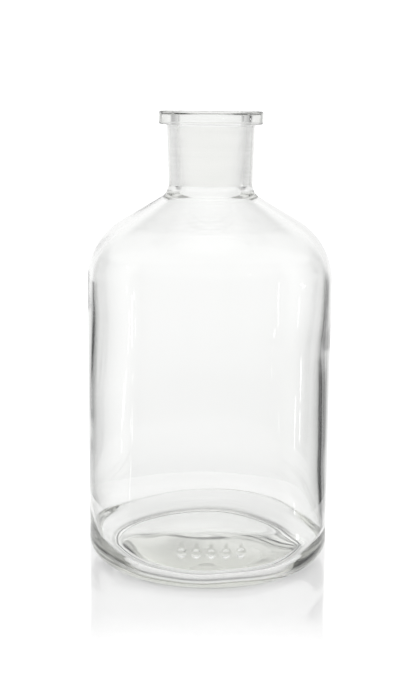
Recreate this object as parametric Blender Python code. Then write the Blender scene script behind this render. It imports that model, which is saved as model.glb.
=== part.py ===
"""Narrow-neck reagent bottle, 1000 ml class, without its stopper.

Clear soda-lime glass, turned about +Z.  The origin is at the centre of the
standing ring, on the surface that the bottle stands on, and +Z points out of
the mouth.  Everything is in millimetres here and is scaled to metres when the
meshes are made.

The glass is described zone by zone, from the mouth down:

  rim_flange   flat, fire-polished collar round the mouth
  ground_neck  neck with the conical ground socket for a 29/32 stopper
  shoulder     neck root, cone and round shoulder
  body_wall    straight cylindrical wall
  base         heel, standing ring, recessed underside, thick floor, moulded pips
"""
import math

import bmesh
import bpy
from mathutils import Matrix, Vector

MM = 0.001
GAP = 0.3                      # clearance between neighbouring zones

# ---- overall ---------------------------------------------------------------
HEIGHT = 198.5                 # standing surface to the top of the rim
BODY_R = 53.5                  # outer radius of the body
WALL = 3.0                     # body wall
SEGMENTS = 60                  # facets round the bottle

# ---- rim flange ------------------------------------------------------------
FLANGE_R = 22.5
FLANGE_T = 5.6
FLANGE_TOP_EDGE = 1.0          # edge radius, outer top
FLANGE_LOW_EDGE = 0.7          # edge radius, outer underside
MOUTH_EDGE = 1.3               # fire-polished inner edge of the mouth

# ---- socket 29/32: 29.2 mm wide at the rim, taper 1:10, 32 mm deep ----------
SOCKET_R = 14.6
SOCKET_DEPTH = 32.0
SOCKET_TAPER = 0.05            # radius lost per mm of depth

# ---- neck ------------------------------------------------------------------
NECK_R_TOP = 18.9
NECK_R_ROOT = 18.15
NECK_FILLET = 6.8              # hollow fillet between neck and shoulder cone

# ---- shoulder --------------------------------------------------------------
SHOULDER_Z = 125.7             # where the straight wall ends
SHOULDER_R = 29.9              # round of the shoulder
SHOULDER_TURN = math.radians(59.4)   # how far the round turns before the cone
SHOULDER_WALL = 3.2

# ---- base ------------------------------------------------------------------
BASE_TOP = 27.0                # split between base and straight wall
HEEL_R = 10.0                  # heel, radial
HEEL_Z = 9.4                   # heel, vertical
RING_R = 41.3                  # inner edge of the flat standing ring
FLOOR_Z = 7.0                  # inner floor at its edge
FLOOR_CROWN = 3.1              # rise of the inner floor at the centre
FLOOR_CORNER = 8.5             # inner corner between floor and wall
PUSHUP_STEP = 1.5              # step just inside the standing ring
PUSHUP = 1.5                   # underside height at the centre

# ---- moulded pips on the front of the base ------------------------------------
PIP_COUNT = 5
PIP_PITCH = 6.2
PIP_R = 1.7
PIP_PROUD = 0.7
PIP_Z = 18.0
PIP_X = 1.5                    # sideways offset of the row


def clear_scene():
    for ob in list(bpy.data.objects):
        bpy.data.objects.remove(ob, do_unlink=True)


def arc(cx, cz, rx, rz, a0, a1, n):
    """n + 1 points on an elliptical arc in the (radius, height) plane."""
    return [(cx + rx * math.cos(a0 + (a1 - a0) * i / n),
             cz + rz * math.sin(a0 + (a1 - a0) * i / n)) for i in range(n + 1)]


def socket_radius(z):
    return SOCKET_R - SOCKET_TAPER * (HEIGHT - z)


def neck_radius(z):
    top = HEIGHT - FLANGE_T
    t = (top - z) / (top - neck_root_z())
    return NECK_R_TOP + (NECK_R_ROOT - NECK_R_TOP) * t


# ---- outer contour of the shoulder ------------------------------------------
def cone_normal():
    return math.cos(SHOULDER_TURN), math.sin(SHOULDER_TURN)


def cone_offset():
    """Distance of the outer cone from the origin along its normal."""
    nr, nz = cone_normal()
    return nr * (BODY_R - SHOULDER_R) + nz * SHOULDER_Z + SHOULDER_R


def neck_root_z():
    """Height where the neck ends and its hollow fillet begins."""
    nr, nz = cone_normal()
    return (cone_offset() + NECK_FILLET - nr * (NECK_R_ROOT + NECK_FILLET)) / nz


def shoulder_outside():
    """From the neck root, down to the top of the straight wall."""
    zc = neck_root_z()
    pts = arc(NECK_R_ROOT + NECK_FILLET, zc, NECK_FILLET, NECK_FILLET,
              math.pi, math.pi + SHOULDER_TURN, 5)
    pts += arc(BODY_R - SHOULDER_R, SHOULDER_Z, SHOULDER_R, SHOULDER_R,
               SHOULDER_TURN, 0.0, 8)
    return pts


def shoulder_inside():
    """Inner contour, from the end of the socket down to the straight wall.

    The inner fillet starts exactly where the socket ends and runs out
    tangent to the inner cone, which fixes its radius.
    """
    nr, nz = cone_normal()
    r0 = socket_radius(HEIGHT - SOCKET_DEPTH)
    z0 = HEIGHT - SOCKET_DEPTH
    k = cone_offset() - SHOULDER_WALL
    fillet = (nr * r0 + nz * z0 - k) / (1.0 - nr)
    pts = arc(r0 + fillet, z0, fillet, fillet,
              math.pi, math.pi + SHOULDER_TURN, 5)
    inner = SHOULDER_R - WALL
    pts += arc(BODY_R - SHOULDER_R, SHOULDER_Z, inner, SHOULDER_R - SHOULDER_WALL,
               SHOULDER_TURN, 0.0, 8)
    return pts


# ---- closed contours of the zones ------------------------------------------
def rim_flange_contour():
    low = HEIGHT - FLANGE_T
    e1, e2, m = FLANGE_TOP_EDGE, FLANGE_LOW_EDGE, MOUTH_EDGE
    pts = arc(FLANGE_R - e2, low + e2, e2, e2, -math.pi / 2, 0.0, 3)
    pts += arc(FLANGE_R - e1, HEIGHT - e1, e1, e1, 0.0, math.pi / 2, 3)
    pts += arc(SOCKET_R + m, HEIGHT - m, m, m, math.pi / 2, math.pi, 3)
    pts.append((socket_radius(low), low))
    return pts


def ground_neck_contour():
    top = HEIGHT - FLANGE_T - GAP
    low = HEIGHT - SOCKET_DEPTH + 2.5
    return [(socket_radius(low), low), (neck_radius(low), low),
            (neck_radius((top + low) / 2), (top + low) / 2),
            (neck_radius(top), top), (socket_radius(top), top),
            (socket_radius((top + low) / 2), (top + low) / 2)]


def shoulder_contour():
    top = HEIGHT - SOCKET_DEPTH + 2.5 - GAP
    outer = [(neck_radius(top), top)] + shoulder_outside()
    inner = [(socket_radius(top), top)] + shoulder_inside()
    low = SHOULDER_Z - 1.0
    outer.append((BODY_R, low))
    inner.append((BODY_R - WALL, low))
    return outer[::-1] + inner


def body_wall_contour():
    top = SHOULDER_Z - 1.0 - GAP
    mid = (top + BASE_TOP + GAP) / 2
    low = BASE_TOP + GAP
    r = BODY_R - WALL
    return [(r, low), (BODY_R, low), (BODY_R, mid),
            (BODY_R, top), (r, top), (r, mid)]


def base_contour():
    """Open contour from the underside's centre to the floor's centre."""
    n = 4
    pts = [(0.0, PUSHUP)]
    step_r = RING_R - 3.0
    for i in range(1, n + 1):          # recessed underside
        t = i / n
        pts.append((step_r * t, PUSHUP + (PUSHUP_STEP - PUSHUP) * t * t))
    pts += arc(RING_R - 1.5, 0.0, 1.5, PUSHUP_STEP, math.radians(75), 0.0, 3)
    pts += arc(BODY_R - HEEL_R, HEEL_Z, HEEL_R, HEEL_Z, -math.pi / 2, 0.0, 7)
    pts.append((BODY_R, BASE_TOP))
    pts.append((BODY_R - WALL, BASE_TOP))
    pts += arc(BODY_R - WALL - FLOOR_CORNER, FLOOR_Z + FLOOR_CORNER,
               FLOOR_CORNER, FLOOR_CORNER, 0.0, -math.pi / 2, 6)
    edge = BODY_R - WALL - FLOOR_CORNER
    for i in range(n - 1, 0, -1):
        t = i / n
        pts.append((edge * t, FLOOR_Z + FLOOR_CROWN * (1.0 - t * t)))
    pts.append((0.0, FLOOR_Z + FLOOR_CROWN))
    return pts


# ---- mesh building -------------------------------------------------------------
def lathe(name, contour, closed, material):
    """Turn a contour (anticlockwise in radius, height) about Z."""
    bm = bmesh.new()
    rings = []
    for r, z in contour:
        if r < 1e-6:
            rings.append([bm.verts.new((0.0, 0.0, z * MM))])
            continue
        ring = []
        for i in range(SEGMENTS):
            a = 2 * math.pi * i / SEGMENTS
            ring.append(bm.verts.new((r * math.cos(a) * MM,
                                      r * math.sin(a) * MM, z * MM)))
        rings.append(ring)
    pairs = list(zip(rings, rings[1:] + rings[:1])) if closed \
        else list(zip(rings, rings[1:]))
    for a, b in pairs:
        for i in range(SEGMENTS):
            j = (i + 1) % SEGMENTS
            if len(a) == 1 and len(b) == 1:
                break
            if len(a) == 1:
                bm.faces.new((a[0], b[j], b[i]))
            elif len(b) == 1:
                bm.faces.new((a[i], a[j], b[0]))
            else:
                bm.faces.new((a[i], a[j], b[j], b[i]))
    bmesh.ops.recalc_face_normals(bm, faces=bm.faces)
    mesh = bpy.data.meshes.new(name)
    bm.to_mesh(mesh)
    bm.free()
    mesh.shade_smooth()
    mesh.set_sharp_from_angle(angle=math.radians(40))
    mesh.materials.append(material)
    ob = bpy.data.objects.new(name, mesh)
    bpy.context.scene.collection.objects.link(ob)
    return ob


def add_pips(ob):
    """Row of low round pips on the front of the heel wall, united with it."""
    mid = (PIP_COUNT - 1) / 2
    for i in range(PIP_COUNT):
        x = PIP_X + (i - mid) * PIP_PITCH
        y = -math.sqrt(BODY_R ** 2 - x ** 2)
        out = Vector((x, y, 0.0)).normalized()
        bm = bmesh.new()
        bmesh.ops.create_uvsphere(bm, u_segments=14, v_segments=8, radius=1.0)
        depth = PIP_PROUD + 0.5
        bmesh.ops.scale(bm, vec=(PIP_R * MM, PIP_R * MM, depth * MM),
                        verts=bm.verts)
        turn = out.to_track_quat('Z', 'Y').to_matrix().to_4x4()
        place = Matrix.Translation((Vector((x, y, PIP_Z)) - out * 0.5) * MM)
        bmesh.ops.transform(bm, matrix=place @ turn, verts=bm.verts)
        mesh = bpy.data.meshes.new("pip_form_%d" % i)
        bm.to_mesh(mesh)
        bm.free()
        tool = bpy.data.objects.new("pip_form_%d" % i, mesh)
        bpy.context.scene.collection.objects.link(tool)
        tool.hide_render = True
        tool.display_type = 'WIRE'
        mod = ob.modifiers.new("pip_%d" % i, 'BOOLEAN')
        mod.operation = 'UNION'
        mod.solver = 'EXACT'
        mod.object = tool


def glass(name, colour, roughness):
    mat = bpy.data.materials.new(name)
    mat.use_nodes = True
    node = mat.node_tree.nodes["Principled BSDF"]
    node.inputs["Base Color"].default_value = (*colour, 1.0)
    node.inputs["Roughness"].default_value = roughness
    node.inputs["Metallic"].default_value = 0.0
    node.inputs["IOR"].default_value = 1.52
    node.inputs["Transmission Weight"].default_value = 1.0
    return mat


def main():
    clear_scene()
    lathe("rim_flange", rim_flange_contour(), True,
          glass("polished_rim_glass", (0.90, 0.94, 0.92), 0.03))
    lathe("ground_neck", ground_neck_contour(), True,
          glass("ground_socket_glass", (0.93, 0.94, 0.94), 0.45))
    lathe("shoulder", shoulder_contour(), True,
          glass("shoulder_glass", (0.93, 0.96, 0.95), 0.02))
    lathe("body_wall", body_wall_contour(), True,
          glass("body_glass", (0.93, 0.96, 0.95), 0.02))
    base = lathe("base", base_contour(), False,
                 glass("base_glass", (0.86, 0.91, 0.88), 0.03))
    add_pips(base)


main()
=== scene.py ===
"""Looks of the one litre reagent bottle: one continuous piece of clear glass.

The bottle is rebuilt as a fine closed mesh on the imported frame's dimensions:
outside and inside are one turned skin, the inner wall is a little wavy as
blown glass is, the socket in the neck is ground, and the row of moulded pips
stands on the front of the base.
"""
import math

import bpy
from mathutils import Matrix, Vector

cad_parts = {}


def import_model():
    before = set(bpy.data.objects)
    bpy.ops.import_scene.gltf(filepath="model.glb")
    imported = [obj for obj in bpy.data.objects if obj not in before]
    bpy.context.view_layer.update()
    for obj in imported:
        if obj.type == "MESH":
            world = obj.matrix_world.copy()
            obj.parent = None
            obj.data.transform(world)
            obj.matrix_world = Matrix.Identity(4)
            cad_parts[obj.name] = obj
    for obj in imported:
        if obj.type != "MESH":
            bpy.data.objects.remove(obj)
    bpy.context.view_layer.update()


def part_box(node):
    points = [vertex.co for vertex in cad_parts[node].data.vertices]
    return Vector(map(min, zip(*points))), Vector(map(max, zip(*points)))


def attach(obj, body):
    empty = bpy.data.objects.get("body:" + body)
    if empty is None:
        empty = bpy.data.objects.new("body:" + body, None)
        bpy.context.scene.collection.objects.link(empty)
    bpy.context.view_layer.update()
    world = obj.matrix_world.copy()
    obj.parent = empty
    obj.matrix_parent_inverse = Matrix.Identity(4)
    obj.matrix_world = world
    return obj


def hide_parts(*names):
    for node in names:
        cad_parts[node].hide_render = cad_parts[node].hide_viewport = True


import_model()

MM = 0.001

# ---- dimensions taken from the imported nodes, in millimetres ------------------
(_, flange_hi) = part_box("rim_flange")
(flange_lo, _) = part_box("rim_flange")
(_, wall_hi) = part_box("body_wall")
(_, neck_hi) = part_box("ground_neck")
HEIGHT = flange_hi[2] / MM
FLANGE_R = flange_hi[0] / MM
FLANGE_T = (flange_hi[2] - flange_lo[2]) / MM
BODY_R = wall_hi[0] / MM
NECK_R_TOP = neck_hi[0] / MM

FLANGE_TOP_EDGE = 1.0
FLANGE_LOW_EDGE = 0.7
MOUTH_EDGE = 1.3
SOCKET_R = 14.6
SOCKET_DEPTH = 32.0
SOCKET_TAPER = 0.05
GROUND_FROM = 3.3              # polished lip above the ground zone
NECK_R_ROOT = 18.15
NECK_FILLET = 6.8
SHOULDER_Z = 125.7
SHOULDER_R = 29.9
SHOULDER_TURN = math.radians(59.4)
SHOULDER_WALL = 3.2
WALL = 3.0
HEEL_R = 10.0
HEEL_Z = 9.4
RING_R = 41.3
FLOOR_Z = 7.0
FLOOR_CROWN = 3.1
FLOOR_CORNER = 8.5
PUSHUP_STEP = 1.5
PUSHUP = 1.5
PIP_COUNT = 5
PIP_PITCH = 6.2
PIP_R = 1.9
PIP_PROUD = 0.7
PIP_Z = 18.0
PIP_X = 1.5


# =============================================================================
# contour
# =============================================================================
def arc(cx, cz, rx, rz, a0, a1, step):
    length = abs(a1 - a0) * max(rx, rz)
    n = max(3, int(math.ceil(length / step)))
    return [(cx + rx * math.cos(a0 + (a1 - a0) * i / n),
             cz + rz * math.sin(a0 + (a1 - a0) * i / n)) for i in range(n + 1)]


def line(a, b, step):
    n = max(1, int(math.ceil(math.dist(a, b) / step)))
    return [(a[0] + (b[0] - a[0]) * i / n, a[1] + (b[1] - a[1]) * i / n)
            for i in range(n + 1)]


def socket_radius(z):
    return SOCKET_R - SOCKET_TAPER * (HEIGHT - z)


CONE_R, CONE_Z = math.cos(SHOULDER_TURN), math.sin(SHOULDER_TURN)
CONE_K = CONE_R * (BODY_R - SHOULDER_R) + CONE_Z * SHOULDER_Z + SHOULDER_R
ROOT_Z = (CONE_K + NECK_FILLET - CONE_R * (NECK_R_ROOT + NECK_FILLET)) / CONE_Z
LIP_Z = HEIGHT - FLANGE_T
GROUND_TOP = HEIGHT - GROUND_FROM
GROUND_LOW = HEIGHT - SOCKET_DEPTH


def contour():
    """Points (radius, height, zone) from the underside's centre, up the
    outside, over the rim and down the inside to the floor's centre."""
    out = []

    def add(points, zone):
        for r, z in points:
            if out and math.dist(out[-1][:2], (r, z)) < 1e-4:
                continue
            out.append((r, z, zone))

    step_r = RING_R - 3.0
    add([(step_r * i / 14,
          PUSHUP + (PUSHUP_STEP - PUSHUP) * (i / 14) ** 2)
         for i in range(15)], "out")
    add(arc(RING_R - 1.5, 0.0, 1.5, PUSHUP_STEP, math.radians(80), 0.0, 0.5),
        "out")
    add(line((RING_R, 0.0), (BODY_R - HEEL_R, 0.0), 0.8), "out")
    add(arc(BODY_R - HEEL_R, HEEL_Z, HEEL_R, HEEL_Z, -math.pi / 2, 0.0, 0.9),
        "out")
    add(line((BODY_R, HEEL_Z), (BODY_R, PIP_Z - 2.2), 1.5), "out")
    add(line((BODY_R, PIP_Z - 2.2), (BODY_R, PIP_Z + 2.2), 0.3), "out")
    add(line((BODY_R, PIP_Z + 2.2), (BODY_R, SHOULDER_Z), 3.0), "out")
    add(arc(BODY_R - SHOULDER_R, SHOULDER_Z, SHOULDER_R, SHOULDER_R, 0.0,
            SHOULDER_TURN, 1.3), "out")
    add(arc(NECK_R_ROOT + NECK_FILLET, ROOT_Z, NECK_FILLET, NECK_FILLET,
            math.pi + SHOULDER_TURN, math.pi, 0.6), "out")
    fillet = 1.0
    add(line((NECK_R_ROOT, ROOT_Z), (NECK_R_TOP, LIP_Z - fillet), 2.5), "out")
    add(arc(NECK_R_TOP + fillet, LIP_Z - fillet, fillet, fillet,
            math.pi, math.pi / 2, 0.25), "out")
    add(arc(FLANGE_R - FLANGE_LOW_EDGE, LIP_Z + FLANGE_LOW_EDGE,
            FLANGE_LOW_EDGE, FLANGE_LOW_EDGE, -math.pi / 2, 0.0, 0.25), "out")
    add(arc(FLANGE_R - FLANGE_TOP_EDGE, HEIGHT - FLANGE_TOP_EDGE,
            FLANGE_TOP_EDGE, FLANGE_TOP_EDGE, 0.0, math.pi / 2, 0.22), "out")
    add(arc(SOCKET_R + MOUTH_EDGE, HEIGHT - MOUTH_EDGE, MOUTH_EDGE, MOUTH_EDGE,
            math.pi / 2, math.pi, 0.22), "in")
    add(line((socket_radius(HEIGHT - MOUTH_EDGE), HEIGHT - MOUTH_EDGE),
             (socket_radius(GROUND_TOP), GROUND_TOP), 0.7), "in")
    add(line((socket_radius(GROUND_TOP), GROUND_TOP),
             (socket_radius(GROUND_LOW), GROUND_LOW), 1.0), "ground")
    r0, z0 = socket_radius(GROUND_LOW), GROUND_LOW
    k = CONE_K - SHOULDER_WALL
    fi = (CONE_R * r0 + CONE_Z * z0 - k) / (1.0 - CONE_R)
    add(arc(r0 + fi, z0, fi, fi, math.pi, math.pi + SHOULDER_TURN, 0.6), "in")
    add(arc(BODY_R - SHOULDER_R, SHOULDER_Z, SHOULDER_R - WALL,
            SHOULDER_R - SHOULDER_WALL, SHOULDER_TURN, 0.0, 1.3), "in")
    inner = BODY_R - WALL
    add(line((inner, SHOULDER_Z), (inner, FLOOR_Z + FLOOR_CORNER), 3.0), "in")
    add(arc(inner - FLOOR_CORNER, FLOOR_Z + FLOOR_CORNER, FLOOR_CORNER,
            FLOOR_CORNER, 0.0, -math.pi / 2, 0.8), "in")
    edge = inner - FLOOR_CORNER
    add([(edge * i / 22, FLOOR_Z + FLOOR_CROWN * (1.0 - (i / 22) ** 2))
         for i in range(22, -1, -1)], "in")
    return out


# =============================================================================
# blown glass: slow waves of the inner wall, nearly true outside
# =============================================================================
def bell(x, centre, width):
    return math.exp(-((x - centre) / width) ** 2)


# height, wall on the right, wall on the left
WALLS = ((0.0, 3.0, 3.0), (14.0, 3.4, 2.3), (34.0, 4.3, 1.9),
         (52.7, 4.3, 2.4), (71.2, 4.3, 2.4), (89.5, 4.05, 2.8),
         (107.5, 3.1, 2.9), (120.9, 2.75, 2.6), (134.0, 2.6, 2.5),
         (150.0, 3.0, 3.0), (170.0, 3.0, 3.0))


def wall_at(z):
    """Mean wall and its sideways lean, smooth through the rows above.

    The thick side leans a little towards the front.
    """
    k = 1
    while k < len(WALLS) - 3 and z > WALLS[k + 1][0]:
        k += 1
    p = WALLS[k - 1:k + 3]
    f = min(max((z - p[1][0]) / (p[2][0] - p[1][0]), 0.0), 1.0)
    out = []
    for side in (1, 2):
        span = p[2][0] - p[1][0]
        m0 = (p[2][side] - p[0][side]) / (p[2][0] - p[0][0]) * span
        m1 = (p[3][side] - p[1][side]) / (p[3][0] - p[1][0]) * span
        out.append((2 * f ** 3 - 3 * f ** 2 + 1) * p[1][side]
                   + (f ** 3 - 2 * f ** 2 + f) * m0
                   + (3 * f ** 2 - 2 * f ** 3) * p[2][side]
                   + (f ** 3 - f ** 2) * m1)
    right, left = out
    lean = (right - left) / 1.393
    return right - 0.819 * lean, lean


def wander(theta, z):
    """Outward shift of the inner wall, in millimetres."""
    mean, shift = wall_at(z)
    w = WALL - mean - shift * math.cos(theta + 0.785)
    d = math.remainder(theta + 0.17, 2 * math.pi)
    w += 0.6 * d * bell(d, 0.0, 0.4) * bell(z, 105.0, 22.0)
    w += 0.07 * math.sin(2 * theta - 1.1 - z / 38.0)
    w += 0.04 * math.sin(3 * theta + 2.0 + z / 21.0)
    w += 0.02 * math.sin(7 * theta - 0.4 - z / 13.0)
    return w


def outer_wander(theta, z):
    return (0.030 * math.sin(2 * theta + 0.5 + z / 70.0)
            + 0.018 * math.sin(5 * theta - z / 31.0)) - 0.05


def floor_lean(r, theta):
    """The floor is a little thicker at the back, and not quite even."""
    u = r / (BODY_R - WALL - FLOOR_CORNER)
    x, y = u * math.cos(theta), u * math.sin(theta)
    return (2.6 * y + 0.16 * math.sin(5.2 * x + 0.6) * (1 - 0.4 * y)
            + 0.10 * math.sin(9.0 * x - 3.0 * y + 2.0) * u
            + 0.20 * u * u * math.sin(2 * theta + 0.4))


def smooth(x, a, b):
    t = min(max((x - a) / (b - a), 0.0), 1.0)
    return t * t * (3 - 2 * t)


def pip_height(theta, z):
    """Outward shift of the moulded pips on the front, in millimetres."""
    if not (PIP_Z - 2.5 < z < PIP_Z + 2.5):
        return 0.0
    x = BODY_R * math.cos(theta)
    if math.sin(theta) > 0:
        return 0.0
    best = 0.0
    mid = (PIP_COUNT - 1) / 2
    for i in range(PIP_COUNT):
        px = PIP_X + (i - mid) * PIP_PITCH
        d = math.hypot(x - px, z - PIP_Z) / (PIP_R + 0.2)
        if d < 1.0:
            best = max(best, (1 - d * d) ** 1.0 * PIP_PROUD)
    return best


def angles():
    """Columns round the bottle, finer across the row of pips."""
    front = -math.pi / 2 + PIP_X / BODY_R
    half = (PIP_COUNT * PIP_PITCH / 2 + 1.5) / BODY_R
    fine = 104
    coarse = 200
    out = [front - half + 2 * half * i / fine for i in range(fine)]
    rest = 2 * math.pi - 2 * half
    out += [front + half + rest * i / coarse for i in range(coarse)]
    return out


# =============================================================================
# materials
# =============================================================================
def node(tree, kind, **values):
    n = tree.nodes.new(kind)
    for key, value in values.items():
        setattr(n, key, value)
    return n


def glass_material(name, ground):
    mat = bpy.data.materials.new(name)
    mat.use_nodes = True
    nt = mat.node_tree
    nt.nodes.clear()
    out = node(nt, "ShaderNodeOutputMaterial")
    bsdf = node(nt, "ShaderNodeBsdfPrincipled")
    nt.links.new(bsdf.outputs[0], out.inputs["Surface"])
    bsdf.inputs["IOR"].default_value = 1.52
    bsdf.inputs["Transmission Weight"].default_value = 1.0
    bsdf.inputs["Metallic"].default_value = 0.0
    coords = node(nt, "ShaderNodeTexCoord")
    # faint cloudiness of the colour, far slower than the wall is thick
    cloud = node(nt, "ShaderNodeTexNoise")
    cloud.inputs["Scale"].default_value = 22.0
    cloud.inputs["Detail"].default_value = 2.0
    nt.links.new(coords.outputs["Object"], cloud.inputs["Vector"])
    tint = node(nt, "ShaderNodeMix", data_type="RGBA")
    nt.links.new(cloud.outputs["Fac"], tint.inputs["Factor"])
    if ground:
        tint.inputs[6].default_value = (0.93, 0.93, 0.935, 1)
        tint.inputs[7].default_value = (1.0, 1.0, 1.0, 1)
    else:
        tint.inputs[6].default_value = (0.988, 0.992, 0.988, 1)
        tint.inputs[7].default_value = (0.996, 0.998, 0.996, 1)
    nt.links.new(tint.outputs[2], bsdf.inputs["Base Color"])
    if ground:
        # rings left by grinding: noise squeezed into thin bands round the cone
        squeeze = node(nt, "ShaderNodeMapping")
        squeeze.inputs["Scale"].default_value = (9.0, 9.0, 760.0)
        nt.links.new(coords.outputs["Object"], squeeze.inputs["Vector"])
        rings = node(nt, "ShaderNodeTexNoise")
        rings.inputs["Scale"].default_value = 1.0
        rings.inputs["Detail"].default_value = 3.0
        rings.inputs["Roughness"].default_value = 0.6
        nt.links.new(squeeze.outputs[0], rings.inputs["Vector"])
        grain = node(nt, "ShaderNodeTexNoise")
        grain.inputs["Scale"].default_value = 2600.0
        grain.inputs["Detail"].default_value = 1.0
        nt.links.new(coords.outputs["Object"], grain.inputs["Vector"])
        both = node(nt, "ShaderNodeMath", operation="MULTIPLY_ADD")
        nt.links.new(rings.outputs["Fac"], both.inputs[0])
        both.inputs[1].default_value = 0.8
        nt.links.new(grain.outputs["Fac"], both.inputs[2])
        bands = node(nt, "ShaderNodeMapRange")
        bands.inputs["From Min"].default_value = 0.36
        bands.inputs["From Max"].default_value = 0.60
        nt.links.new(rings.outputs["Fac"], bands.inputs["Value"])
        nt.links.new(bands.outputs[0], tint.inputs["Factor"])
        # painted glow: the ground socket gives off a faint light of its own, ring
        # by ring, standing in for light scattered in the ground surface
        bsdf.inputs["Emission Color"].default_value = (1, 1, 1, 1)
        painted_glow = node(nt, "ShaderNodeMapRange")
        painted_glow.inputs["From Min"].default_value = 0.38
        painted_glow.inputs["From Max"].default_value = 0.62
        painted_glow.inputs["To Min"].default_value = 0.066
        painted_glow.inputs["To Max"].default_value = 0.108
        nt.links.new(rings.outputs["Fac"], painted_glow.inputs["Value"])
        nt.links.new(painted_glow.outputs[0], bsdf.inputs["Emission Strength"])
        bump = node(nt, "ShaderNodeBump")
        bump.inputs["Strength"].default_value = 0.35
        bump.inputs["Distance"].default_value = 0.0002
        nt.links.new(both.outputs[0], bump.inputs["Height"])
        nt.links.new(bump.outputs[0], bsdf.inputs["Normal"])
        rough = node(nt, "ShaderNodeMapRange")
        rough.inputs["To Min"].default_value = 0.24
        rough.inputs["To Max"].default_value = 0.36
        nt.links.new(rings.outputs["Fac"], rough.inputs["Value"])
        nt.links.new(rough.outputs[0], bsdf.inputs["Roughness"])
    else:
        rough = node(nt, "ShaderNodeMapRange")
        rough.inputs["To Min"].default_value = 0.0
        rough.inputs["To Max"].default_value = 0.02
        nt.links.new(cloud.outputs["Fac"], rough.inputs["Value"])
        nt.links.new(rough.outputs[0], bsdf.inputs["Roughness"])
    volume = node(nt, "ShaderNodeVolumeAbsorption")
    volume.inputs["Color"].default_value = (0.60, 0.612, 0.55, 1)
    volume.inputs["Density"].default_value = 11.0
    nt.links.new(volume.outputs[0], out.inputs["Volume"])
    return mat


# =============================================================================
# mesh
# =============================================================================
def build_bottle():
    prof = contour()
    cols = angles()
    n = len(cols)
    verts, faces, slots = [], [], []
    rings = []
    for r, z, zone in prof:
        if r < 1e-5:
            rings.append([len(verts)])
            verts.append((0.0, 0.0, z * MM))
            continue
        ring = []
        for t in cols:
            rr = r
            zz = z
            if zone == "in" and z < FLOOR_Z + FLOOR_CORNER:
                low = 1 - smooth(z, FLOOR_Z + 4, FLOOR_Z + FLOOR_CORNER)
                if r < BODY_R - WALL - FLOOR_CORNER + 0.01:
                    low = 1.0
                zz += low * floor_lean(r, t)
            if zone == "in":
                fade = (smooth(z, FLOOR_Z + 3, FLOOR_Z + 16)
                        * (1 - smooth(z, 146, 162)))
                rr += wander(t, z) * fade
            elif zone == "out":
                fade = smooth(z, 8, 20) * (1 - smooth(z, 118, 126))
                rr += outer_wander(t, z) * fade
                if r > BODY_R - 0.01:
                    rr += pip_height(t, z)
            ring.append(len(verts))
            verts.append((rr * math.cos(t) * MM, rr * math.sin(t) * MM,
                          zz * MM))
        rings.append(ring)
    for k in range(len(rings) - 1):
        a, b = rings[k], rings[k + 1]
        ground = prof[k][2] == "ground" and prof[k + 1][2] == "ground"
        for i in range(n):
            j = (i + 1) % n
            if len(a) == 1:
                faces.append((a[0], b[j], b[i]))
            elif len(b) == 1:
                faces.append((a[i], a[j], b[0]))
            else:
                faces.append((a[i], a[j], b[j], b[i]))
            slots.append(1 if ground else 0)
    mesh = bpy.data.meshes.new("bottle_glass")
    mesh.from_pydata(verts, [], faces)
    mesh.materials.append(glass_material("clear_soda_lime_glass", False))
    mesh.materials.append(glass_material("ground_socket_glass", True))
    mesh.polygons.foreach_set("material_index", slots)
    mesh.update()
    mesh.shade_smooth()
    ob = bpy.data.objects.new("bottle_glass", mesh)
    bpy.context.scene.collection.objects.link(ob)
    return ob


bottle = build_bottle()
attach(bottle, "root")
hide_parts("rim_flange", "ground_neck", "shoulder", "body_wall",
            "base")


# =============================================================================
# stage: pale floor, light tent, camera
# =============================================================================
FLOOR_RADIUS = 0.125


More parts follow.
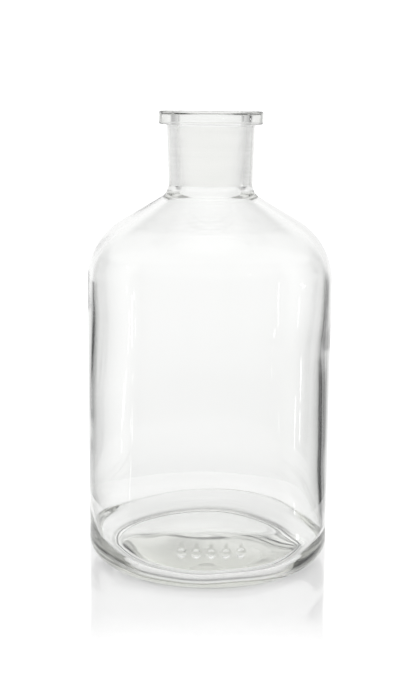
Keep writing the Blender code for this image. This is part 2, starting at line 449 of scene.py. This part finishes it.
def floor():
    rings, spokes = 24, 96
    verts, faces = [(0.0, 0.0, 0.0)], []
    for k in range(1, rings + 1):
        r = FLOOR_RADIUS * (k / rings) ** 1.3
        for i in range(spokes):
            a = 2 * math.pi * i / spokes
            verts.append((r * math.cos(a), r * math.sin(a), 0.0))
    for i in range(spokes):
        faces.append((0, 1 + i, 1 + (i + 1) % spokes))
    for k in range(rings - 1):
        for i in range(spokes):
            j = (i + 1) % spokes
            a = 1 + k * spokes
            faces.append((a + i, a + spokes + i, a + spokes + j, a + j))
    mesh = bpy.data.meshes.new("studio_floor")
    mesh.from_pydata(verts, [], faces)
    mesh.update()
    ob = bpy.data.objects.new("studio_floor", mesh)
    ob.location.z = -0.0002
    bpy.context.scene.collection.objects.link(ob)
    mat = bpy.data.materials.new("pale_floor")
    mat.use_nodes = True
    nt = mat.node_tree
    bsdf = nt.nodes["Principled BSDF"]
    bsdf.inputs["Base Color"].default_value = (0.50, 0.50, 0.50, 1)
    bsdf.inputs["Roughness"].default_value = 0.05
    bsdf.inputs["IOR"].default_value = 1.45
    bsdf.inputs["Emission Color"].default_value = (1, 1, 1, 1)
    # polished only round the bottle's foot, matt and brighter beyond
    coords = node(nt, "ShaderNodeTexCoord")
    length = node(nt, "ShaderNodeVectorMath", operation="LENGTH")
    nt.links.new(coords.outputs["Object"], length.inputs[0])

    def fade(lo, hi, to_lo, to_hi, along=None):
        n = node(nt, "ShaderNodeMapRange", interpolation_type="SMOOTHSTEP")
        n.inputs["From Min"].default_value = lo
        n.inputs["From Max"].default_value = hi
        n.inputs["To Min"].default_value = to_lo
        n.inputs["To Max"].default_value = to_hi
        nt.links.new(along or length.outputs["Value"], n.inputs["Value"])
        return n.outputs[0]

    nt.links.new(fade(0.050, 0.108, 1.0, 0.0), bsdf.inputs["Specular IOR Level"])
    # painted shade: the floor's glow is dimmed in a narrow ring beneath the
    # bottle's heel, standing in for its contact shadow
    shade = node(nt, "ShaderNodeMapRange")
    shade.inputs["From Max"].default_value = 0.1
    nt.links.new(length.outputs["Value"], shade.inputs["Value"])
    painted_shade_ring = node(nt, "ShaderNodeValToRGB")
    nt.links.new(shade.outputs[0], painted_shade_ring.inputs[0])
    stops = [(0.0, 1.0), (0.42, 1.0), (0.432, 0.30), (0.444, 0.30),
             (0.462, 0.92), (0.52, 1.0)]
    elements = painted_shade_ring.color_ramp.elements
    while len(elements) < len(stops):
        elements.new(0.5)
    for e, (place, v) in zip(elements, stops):
        e.position = place
        e.color = (v, v, v, 1)
    dim = node(nt, "ShaderNodeMath", operation="MULTIPLY")
    nt.links.new(painted_shade_ring.outputs["Color"], dim.inputs[0])
    dim.inputs[1].default_value = FLOOR_GLOW
    # painted reflection: the floor's camera-ray glow is lowered in front of the
    # bottle, as wide as the bottle, standing in for the bottle mirrored in the
    # polished floor
    split = node(nt, "ShaderNodeSeparateXYZ")
    nt.links.new(coords.outputs["Object"], split.inputs[0])
    aside = node(nt, "ShaderNodeMath", operation="ABSOLUTE")
    nt.links.new(split.outputs["X"], aside.inputs[0])
    edge = node(nt, "ShaderNodeMath", operation="MULTIPLY_ADD")
    nt.links.new(split.outputs["Y"], edge.inputs[0])
    edge.inputs[1].default_value = -0.095
    nt.links.new(aside.outputs[0], edge.inputs[2])
    front = node(nt, "ShaderNodeMath", operation="MAXIMUM")
    nt.links.new(fade(0.0528, 0.0560, 0.0, 1.0, edge.outputs[0]),
                 front.inputs[0])
    nt.links.new(fade(-0.160, -0.064, 1.0, 0.0, split.outputs["Y"]),
                 front.inputs[1])
    clear = node(nt, "ShaderNodeMath", operation="MAXIMUM")
    nt.links.new(front.outputs[0], clear.inputs[0])
    nt.links.new(fade(0.010, 0.045, 0.0, 1.0, split.outputs["Y"]),
                 clear.inputs[1])
    # camera rays see the floor's glow, lowered where the painted reflection lies
    bright = node(nt, "ShaderNodeMath", operation="MULTIPLY_ADD")
    nt.links.new(clear.outputs[0], bright.inputs[0])
    bright.inputs[1].default_value = 0.46
    bright.inputs[2].default_value = -0.12
    path = node(nt, "ShaderNodeLightPath")
    glow = node(nt, "ShaderNodeMath", operation="MULTIPLY_ADD")
    nt.links.new(path.outputs["Is Camera Ray"], glow.inputs[0])
    nt.links.new(bright.outputs[0], glow.inputs[1])
    nt.links.new(dim.outputs[0], glow.inputs[2])
    nt.links.new(glow.outputs[0], bsdf.inputs["Emission Strength"])
    mesh.materials.append(mat)
    return ob


FLOOR_GLOW = 0.53
floor()

WHITE = 1.03
ROOM = 0.74
SIDES = 0.50
DARK = 0.06
CEILING = 0.50
OVERHEAD = 1.5


def world():
    w = bpy.data.worlds.new("light_tent")
    bpy.context.scene.world = w
    w.use_nodes = True
    nt = w.node_tree
    nt.nodes.clear()
    out = node(nt, "ShaderNodeOutputWorld")
    coords = node(nt, "ShaderNodeTexCoord")
    split = node(nt, "ShaderNodeSeparateXYZ")
    nt.links.new(coords.outputs["Generated"], split.inputs[0])
    x, y, z = split.outputs

    def maths(op, a, b=None, c=None, clamp=False):
        n = node(nt, "ShaderNodeMath", operation=op, use_clamp=clamp)
        for i, v in enumerate((a, b, c)):
            if v is None:
                continue
            if isinstance(v, (int, float)):
                n.inputs[i].default_value = v
            else:
                nt.links.new(v, n.inputs[i])
        return n.outputs[0]

    def ramp(value, lo, hi, to_lo=0.0, to_hi=1.0):
        n = node(nt, "ShaderNodeMapRange", interpolation_type="SMOOTHSTEP")
        nt.links.new(value, n.inputs["Value"])
        n.inputs["From Min"].default_value = lo
        n.inputs["From Max"].default_value = hi
        n.inputs["To Min"].default_value = to_lo
        n.inputs["To Max"].default_value = to_hi
        return n.outputs["Result"]

    azimuth = maths("ARCTAN2", x, y)             # 0 along +Y
    away = maths("ABSOLUTE", azimuth)

    def sin(deg):
        return math.sin(math.radians(deg))

    def steps(value, lo, hi, stops):
        """Brightness along a row of (place, brightness) stops."""
        m = node(nt, "ShaderNodeMapRange")
        nt.links.new(value, m.inputs["Value"])
        m.inputs["From Min"].default_value = lo
        m.inputs["From Max"].default_value = hi
        n = node(nt, "ShaderNodeValToRGB")
        nt.links.new(m.outputs["Result"], n.inputs[0])
        elements = n.color_ramp.elements
        while len(elements) < len(stops):
            elements.new(0.5)
        for e, (place, v) in zip(elements, stops):
            e.position = (place - lo) / (hi - lo)
            e.color = (v, v, v, 1)
        return n.outputs["Color"]

    # Two dark flags stand behind the bottle, to its left and right, and the
    # room beside it is dim apart from four pale walls.
    deg = maths("MULTIPLY", azimuth, 180 / math.pi)
    height = maths("MULTIPLY", maths("ARCSINE", z), 180 / math.pi)
    left_flag = steps(deg, -60, 0, [(-60, 1), (-49, 1), (-46, DARK),
                                    (-34.5, DARK), (-31.5, 0.55),
                                    (-28, 0.74), (-23, 0.86), (-16, 0.93),
                                    (-10, 0.98), (-6, 1), (0, 1)])
    dark_right = steps(deg, 0, 60, [(0, 1), (8, 1), (13, 0.97), (24, 0.93),
                                    (29, 0.82), (33.0, 0.60), (36.5, 0.48),
                                    (38.5, DARK), (45, DARK), (48, 1),
                                    (60, 1)])
    grey_right = steps(deg, 0, 60, [(0, 0), (19.0, 0), (30.0, 1),
                                    (33.0, 1), (35.0, 0), (60, 0)])
    tone = steps(height, -24, 0, [(-24, 0.80), (-17, 0.80), (-15.6, 0.70),
                                  (-14.2, 0.60), (-12.6, 0.66), (-11.4, 0.55),
                                  (-10.4, 0.60), (-9.0, 0.75), (-7.5, 0.88),
                                  (-4, 1.0), (0, 1.0)])
    grey = maths("MULTIPLY", grey_right, maths("SUBTRACT", tone, 1.0))
    right_flag = maths("ADD", dark_right, grey)
    top_left = maths("MULTIPLY", ramp(z, sin(-9.2), sin(-7.8), 1.0, 0.06),
                     ramp(z, sin(-14.8), sin(-13.4), 0.45, 1.0))
    top_right = ramp(z, sin(-7.5), sin(4.0), 1.0, 0.10)
    value = maths("ADD",
                  maths("MULTIPLY", maths("SUBTRACT", left_flag, 1.0),
                        top_left),
                  maths("MULTIPLY", maths("SUBTRACT", right_flag, 1.0),
                        top_right))
    value = maths("MULTIPLY", value,
                  maths("MULTIPLY", ramp(z, sin(3), sin(10), 1.0, 0.0),
                        ramp(z, sin(-21), sin(-18), 0.0, 1.0)))
    sides = steps(maths("MULTIPLY", away, 180 / math.pi), 0, 180,
                  [(0, 1), (34, 1), (43, SIDES), (54, SIDES), (70, 0.75),
                   (84, 0.96), (96, 1), (104, ROOM - 0.12), (116, ROOM),
                   (180, ROOM)])
    band = maths("MULTIPLY", ramp(z, sin(-22), sin(-18), 0.0, 1.0),
                 ramp(z, sin(14), sin(28), 1.0, 0.20))
    sides = maths("MULTIPLY_ADD", maths("SUBTRACT", sides, 1.0), band, 1.0)
    # over the horizon the backdrop is a little darker
    lift = maths("MULTIPLY", maths("MULTIPLY", ramp(z, sin(-2), sin(1.5)),
                                   ramp(z, sin(12), sin(22), -0.10, 0.0)),
                 ramp(away, math.radians(30), math.radians(45), 1.0, 0.0))
    lift = maths("MULTIPLY", lift, ramp(azimuth, 0.05, 0.22, 0.30, 1.0))
    # the sweep darkens a little towards the table
    sweep = ramp(z, sin(-19), sin(-9), 0.90, 1.0)
    # a dim strip of ceiling over the backdrop, a broad soft box overhead
    top = steps(height, 20, 90, [(20, 1.0), (30, 1.0), (36, CEILING),
                                 (54, CEILING), (76, OVERHEAD),
                                 (90, OVERHEAD)])
    front = ramp(away, math.radians(28), math.radians(44), 1.0, 0.0)
    top = maths("MULTIPLY_ADD", maths("SUBTRACT", top, 1.0),
                maths("MAXIMUM", front, ramp(z, sin(50), sin(70))), 1.0)
    value = maths("MULTIPLY", maths("ADD", value, 1.0),
                  maths("MULTIPLY", sweep, maths("MULTIPLY", sides, top)))
    value = maths("MULTIPLY", value, maths("ADD", lift, WHITE))

    def patch(value, az, half, el_lo, el_hi, power):
        """A narrow bright pane at an azimuth, between two elevations."""
        turned = maths("SUBTRACT", azimuth, math.radians(az))
        near = ramp(maths("ABSOLUTE", turned), math.radians(half * 0.6),
                    math.radians(half), 1.0, 0.0)
        a, b = math.sin(math.radians(el_lo)), math.sin(math.radians(el_hi))
        soft = 0.004
        up = ramp(z, a - soft, a + soft)
        down = ramp(z, b - soft, b + soft, 1.0, 0.0)
        m = maths("MULTIPLY", maths("MULTIPLY", near, up), down)
        return maths("MULTIPLY_ADD", m, power, value)

    # azimuth 180 is behind the camera; the panes stand left and right
    value = patch(value, -103.8, 0.9, -10.5, -8.6, 7.0)
    value = patch(value, -103.8, 0.7, -14.7, -13.3, 2.5)
    value = patch(value, 84.8, 0.8, -12.9, -11.1, 6.0)
    value = patch(value, 83.5, 2.0, -3.2, -1.2, 9.0)
    value = patch(value, 84.8, 0.7, -14.7, -13.4, 5.0)

    path = node(nt, "ShaderNodeLightPath")
    tent = node(nt, "ShaderNodeBackground")
    nt.links.new(value, tent.inputs["Strength"])
    tent.inputs["Color"].default_value = (1, 1, 1, 1)
    plain = node(nt, "ShaderNodeBackground")
    plain.inputs["Color"].default_value = (1, 1, 1, 1)
    plain.inputs["Strength"].default_value = 1.15
    mix = node(nt, "ShaderNodeMixShader")
    nt.links.new(path.outputs["Is Camera Ray"], mix.inputs[0])
    nt.links.new(tent.outputs[0], mix.inputs[1])
    nt.links.new(plain.outputs[0], mix.inputs[2])
    nt.links.new(mix.outputs[0], out.inputs["Surface"])


world()


# ---- camera: distance, height, pitch, focal length in image heights, roll -----
CAM_D, CAM_H, CAM_X = 0.5683, 0.2021, 0.00033
PITCH, ROLL = 0.188, 0.008
FOCAL = 1301.5 / 700.0


def camera():
    data = bpy.data.cameras.new("camera")
    data.sensor_fit = "AUTO"
    data.sensor_width = 36.0
    data.lens = FOCAL * 36.0
    data.clip_start = 0.01
    data.clip_end = 50.0
    ob = bpy.data.objects.new("camera", data)
    bpy.context.scene.collection.objects.link(ob)
    turn = (Matrix.Rotation(math.pi / 2 - PITCH, 4, "X")
            @ Matrix.Rotation(ROLL, 4, "Z"))
    ob.matrix_world = Matrix.Translation(
        Vector((CAM_X, -CAM_D, CAM_H))) @ turn
    bpy.context.scene.camera = ob


camera()

scene = bpy.context.scene
scene.view_settings.view_transform = "Standard"
scene.view_settings.look = "None"
scene.cycles.max_bounces = 24
scene.cycles.transmission_bounces = 24
scene.cycles.glossy_bounces = 12
scene.cycles.diffuse_bounces = 4
scene.cycles.volume_bounces = 0
scene.cycles.blur_glossy = 0.3
scene.cycles.use_denoising = True
